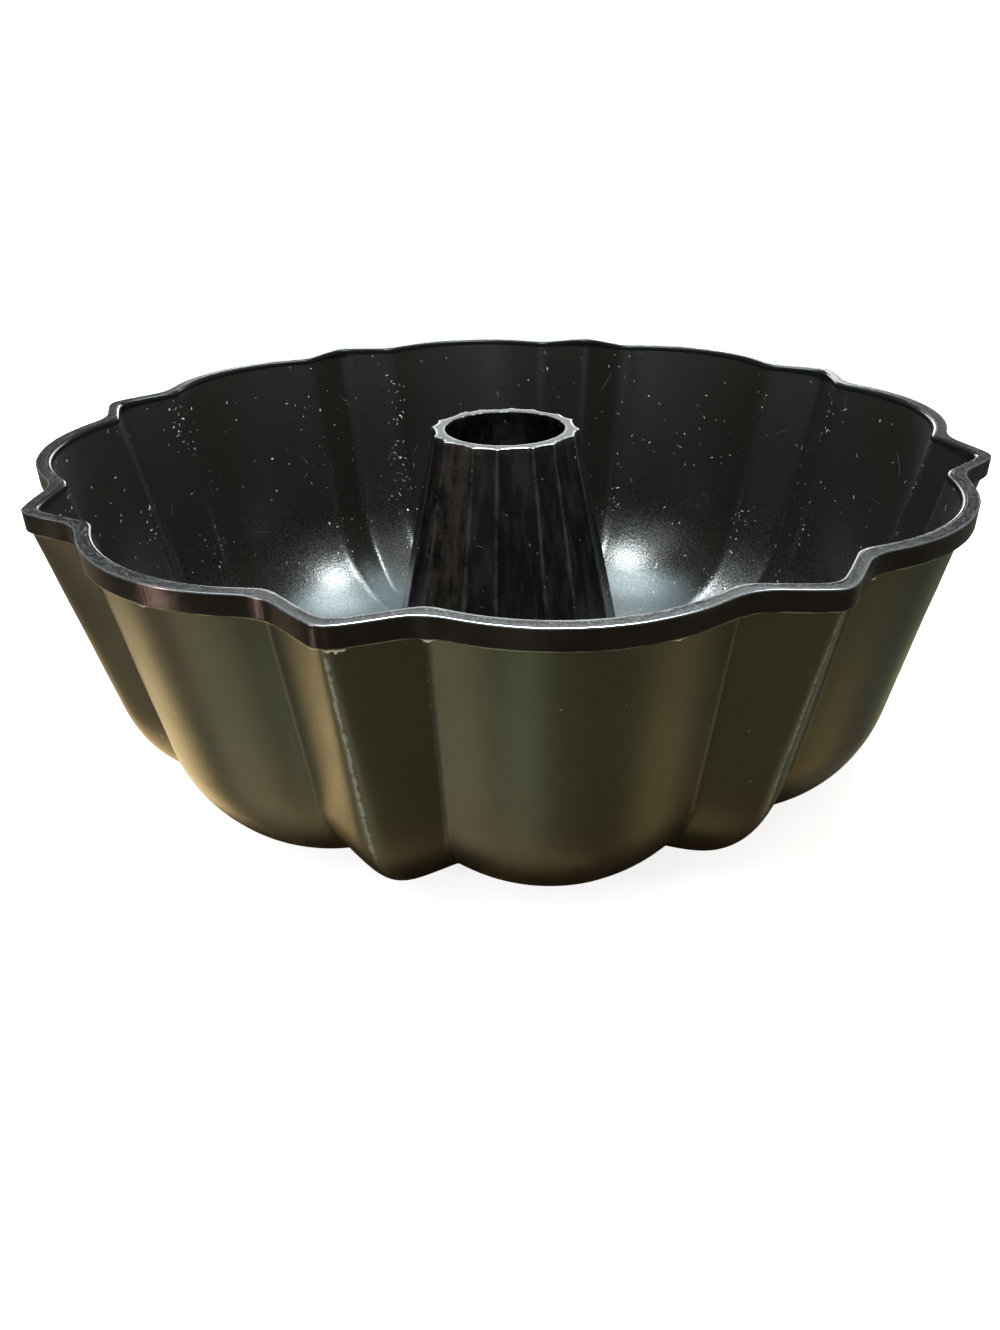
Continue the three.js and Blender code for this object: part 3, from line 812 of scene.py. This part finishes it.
def pale_floor():
    """Pale paper to the eye, and in the pan's reflections the polished table that it lies on.

    Gives the collection that holds it, for the panels that light only the table.
    """
    half = FLOOR_SIZE / 2
    mesh = bpy.data.meshes.new("floor")
    corners = [(-half, -half, 0), (half, -half, 0), (half, half, 0), (-half, half, 0)]
    mesh.from_pydata(corners, [], [(0, 1, 2, 3)])
    finish = Finish("floor_paper", specular_ior_level=0.0, emission_strength=1.0)
    shade = finish.step(finish.cloud(0.4, 2.0), 0.3, 0.7)
    paper = finish.blend(shade, (0.84, 0.84, 0.83, 1.0), (0.86, 0.86, 0.85, 1.0))
    seen = finish.add("LightPath").outputs["Is Camera Ray"]
    mirrored = finish.sum("SUBTRACT", 1.0, seen)
    finish.set(base_color=finish.blend(seen, TABLE_SHINE, paper), metallic=mirrored)
    finish.set(roughness=finish.sum("MULTIPLY_ADD", seen, 0.65, 0.25))
    away = finish.aim("LENGTH", finish.place())
    glow = finish.blend(finish.step(away, 0.25, 1.0), PAPER_GLOW, WHITE)
    finish.set(emission_color=finish.blend(seen, BLACK, glow))
    mesh.materials.append(finish.material)
    floor = bpy.data.objects.new("floor", mesh)
    bpy.context.scene.collection.objects.link(floor)
    table = bpy.data.collections.new("table")
    table.objects.link(floor)
    return table


def panel(name, turn, lift, reach, size, brightness, colour, shape="RECTANGLE", only=None):
    """A flat soft light aimed at the pan: degrees round the axis and up, metres away, and its radiance.

    It can be kept to one collection, such as the table that the pan's outside mirrors.
    """
    turn, lift = math.radians(turn), math.radians(lift)
    place = Vector((math.cos(turn) * math.cos(lift), math.sin(turn) * math.cos(lift), math.sin(lift))) * reach
    data = bpy.data.lights.new(name, "AREA")
    data.energy = brightness * math.pi * size[0] * size[1]
    data.color = colour
    data.shape = shape
    data.size, data.size_y = size
    made = bpy.data.objects.new(name, data)
    made.location = place
    made.rotation_euler = (LIGHT_AIM - place).to_track_quat("-Z", "Y").to_euler()
    made.light_linking.receiver_collection = only
    bpy.context.scene.collection.objects.link(made)


def studio_light(table):
    """Soft panels in a dim room that the camera sees as white."""
    world = bpy.data.worlds.new("studio")
    bpy.context.scene.world = world
    world.use_nodes = True
    bench = Bench(world.node_tree)
    bench.tree.nodes.clear()
    seen = bench.add("LightPath").outputs["Is Camera Ray"]
    room = bench.add("Background", {"Color": ROOM_COLOUR, "Strength": ROOM_STRENGTH}).outputs[0]
    paper = bench.add("Background", {"Color": WHITE, "Strength": 1.0}).outputs[0]
    either = bench.add("MixShader", {0: seen, 1: room, 2: paper}).outputs[0]
    bench.add("OutputWorld", {0: either})
    panel("hood_lamp", -30, 86, 0.37, (0.165, 0.165), 33.0, (0.88, 0.98, 1.0), "ELLIPSE")
    panel("window", 98, 70, 1.5, (1.1, 0.6), 15.0, (0.76, 0.94, 1.0))
    panel("back_panel", 103, 14, 1.6, (1.2, 0.3), 11.0, (0.95, 0.98, 1.0))
    panel("ceiling", -95, 72, 1.3, (0.9, 0.6), 0.8, (1.0, 0.92, 0.7))
    panel("front_left_panel", -132, 46, 1.2, (0.62, 0.6), 1.55, (0.88, 0.97, 1.0))
    panel("front_panel", -91, 48, 1.2, (0.22, 0.6), 1.9, (0.74, 0.94, 1.0))
    panel("front_low_panel", -90, 19, 1.2, (0.3, 0.16), 1.2, (0.8, 1.0, 0.97))
    panel("left_panel", -199, 40, 1.2, (0.76, 0.46), 4.5, (1.0, 0.81, 0.49), only=table)
    panel("right_panel", -3, 45, 1.2, (0.5, 0.4), 1.1, (1.0, 0.85, 0.55), only=table)
    panel("back_right_panel", 60, 30, 1.3, (0.3, 0.22), 1.1, (0.95, 1.0, 0.4), only=table)
    panel("red_lamp", -139, 15, 1.2, (0.2, 0.1), 46.0, (1.0, 0.78, 0.8), only=table)


# The camera, from fitting the pan's outline in the photograph: round the axis from the front, out from it,
# over the floor, then how it looks down, aside and askew
CAMERA_TURN = math.radians(15.03)
CAMERA_REACH = 0.28304
CAMERA_HEIGHT = 0.17133
CAMERA_DIP = math.radians(29.49)
CAMERA_ASIDE = math.radians(-0.533)
CAMERA_ASKEW = math.radians(-0.97)
LENS = 26.29  # on 36 mm along the picture's long side


def photograph_camera():
    data = bpy.data.cameras.new("camera")
    data.lens = LENS
    data.sensor_width = 36.0
    data.clip_start = 0.01
    ahead = Vector((
        math.sin(CAMERA_ASIDE) * math.cos(CAMERA_DIP),
        math.cos(CAMERA_ASIDE) * math.cos(CAMERA_DIP),
        -math.sin(CAMERA_DIP),
    ))
    right = Vector((math.cos(CAMERA_ASIDE), -math.sin(CAMERA_ASIDE), 0))
    up = right.cross(ahead)
    level = Matrix((right, up, -ahead)).transposed()
    askew = Matrix.Rotation(CAMERA_ASKEW, 3, "Z")
    turn = Matrix.Rotation(CAMERA_TURN, 3, "Z")
    camera = bpy.data.objects.new("camera", data)
    facing = turn @ level @ askew
    place = turn @ Vector((0, -CAMERA_REACH, CAMERA_HEIGHT))
    camera.matrix_world = Matrix.Translation(place) @ facing.to_4x4()
    bpy.context.scene.collection.objects.link(camera)
    bpy.context.scene.camera = camera


fluted_shell()
rim_band()
centre_tube()
tube_lock_ring()
studio_light(pale_floor())
photograph_camera()
bpy.context.scene.view_settings.view_transform = "Standard"
